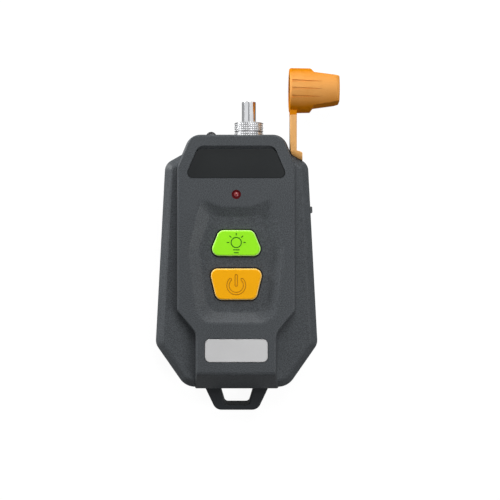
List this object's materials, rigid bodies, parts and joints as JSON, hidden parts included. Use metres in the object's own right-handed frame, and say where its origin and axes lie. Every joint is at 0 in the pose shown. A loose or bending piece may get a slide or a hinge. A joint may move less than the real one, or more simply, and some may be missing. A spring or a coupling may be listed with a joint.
{
  "type": "visual fault locator",
  "caption": "Pocket red-laser fibre tester: bevelled case with raised front, two keys, knurled ferrule port, tethered dust cap, charging flap and lanyard loop.",
  "frame": {"origin": "centre of the flat rear face, which the unit lies on", "axes": "+Z out of the front face, +Y towards the connector along the body, +X to the right of the front"},
  "size_m": [0.0499, 0.0941, 0.0171],
  "materials": {
    "shell_plastic": "fine matt grain",
    "shell_dark": "fine matt grain",
    "plate_black": "satin, bare",
    "label_silver": "satin, bare",
    "key_green": "matt silicone",
    "key_orange": "matt silicone",
    "switch_body": "matt",
    "plunger_plastic": "matt",
    "board": "solder mask",
    "led_red": "tinted, clear",
    "led_clear": "clear",
    "chip_body": "matt",
    "capacitor_body": "ceramic",
    "cell_foil": "foil pouch",
    "foam": "double-sided foam tape",
    "wire_red": "wire insulation",
    "wire_black": "wire insulation",
    "brass": "turned",
    "nickel": "nickel plate",
    "lens_glass": "polished",
    "steel": "bright turned",
    "zirconia": "white ceramic",
    "socket_plastic": "moulded",
    "cover_rubber": "matt",
    "cap_rubber": "matt silicone",
    "screw_steel": "blackened"
  },
  "bodies": {
    "housing": {"front_case": "shell_plastic", "rear_case": "shell_dark", "name_plate": "plate_black", "rating_label": "label_silver", "lamp_switch": "switch_body", "power_switch": "switch_body", "circuit_board": "board", "indicator_led": "led_red", "torch_led": "led_clear", "driver_chip": "chip_body", "charger_chip": "chip_body", "board_capacitors": "capacitor_body", "battery": "cell_foil", "battery_pad": "foam", "battery_lead_plus": "wire_red", "battery_lead_minus": "wire_black", "laser_barrel": "brass", "laser_diode": "nickel", "focus_lens": "lens_glass", "ferrule_tube": "steel", "ceramic_sleeve": "zirconia", "connector_collar": "steel", "usb_socket": "nickel", "usb_tongue": "socket_plastic", "cap_tether": "cap_rubber", "case_screws": "screw_steel", "board_screws": "screw_steel"},
    "cap": {"dust_cap": "cap_rubber"},
    "lamp_key": {"lamp_button": "key_green", "lamp_plunger": "plunger_plastic"},
    "power_key": {"power_button": "key_orange", "power_plunger": "plunger_plastic"},
    "cover": {"port_cover": "cover_rubber"}
  },
  "joints": [
    {"name": "cap_swing", "type": "hinge", "parent": "housing", "child": "cap", "pos_m": [0.01487, 0.03557, 0.0085], "axis": [0, 0, 1], "range_deg": [-45, 90], "stiffness_Nm_per_rad": 0.02, "deforming": ["cap_tether"]},
    {"name": "lamp_press", "type": "slide", "parent": "housing", "child": "lamp_key", "axis": [0, 0, -1], "range_m": [0, 0.0003], "stiffness_N_per_m": 3000, "springref_m": -0.0002},
    {"name": "power_press", "type": "slide", "parent": "housing", "child": "power_key", "axis": [0, 0, -1], "range_m": [0, 0.0003], "stiffness_N_per_m": 3000, "springref_m": -0.0002},
    {"name": "port_hinge", "type": "hinge", "parent": "housing", "child": "cover", "pos_m": [0.0202, 0.00408, 0.0063], "axis": [0, 0, -1], "range_deg": [0, 95]}
  ]
}
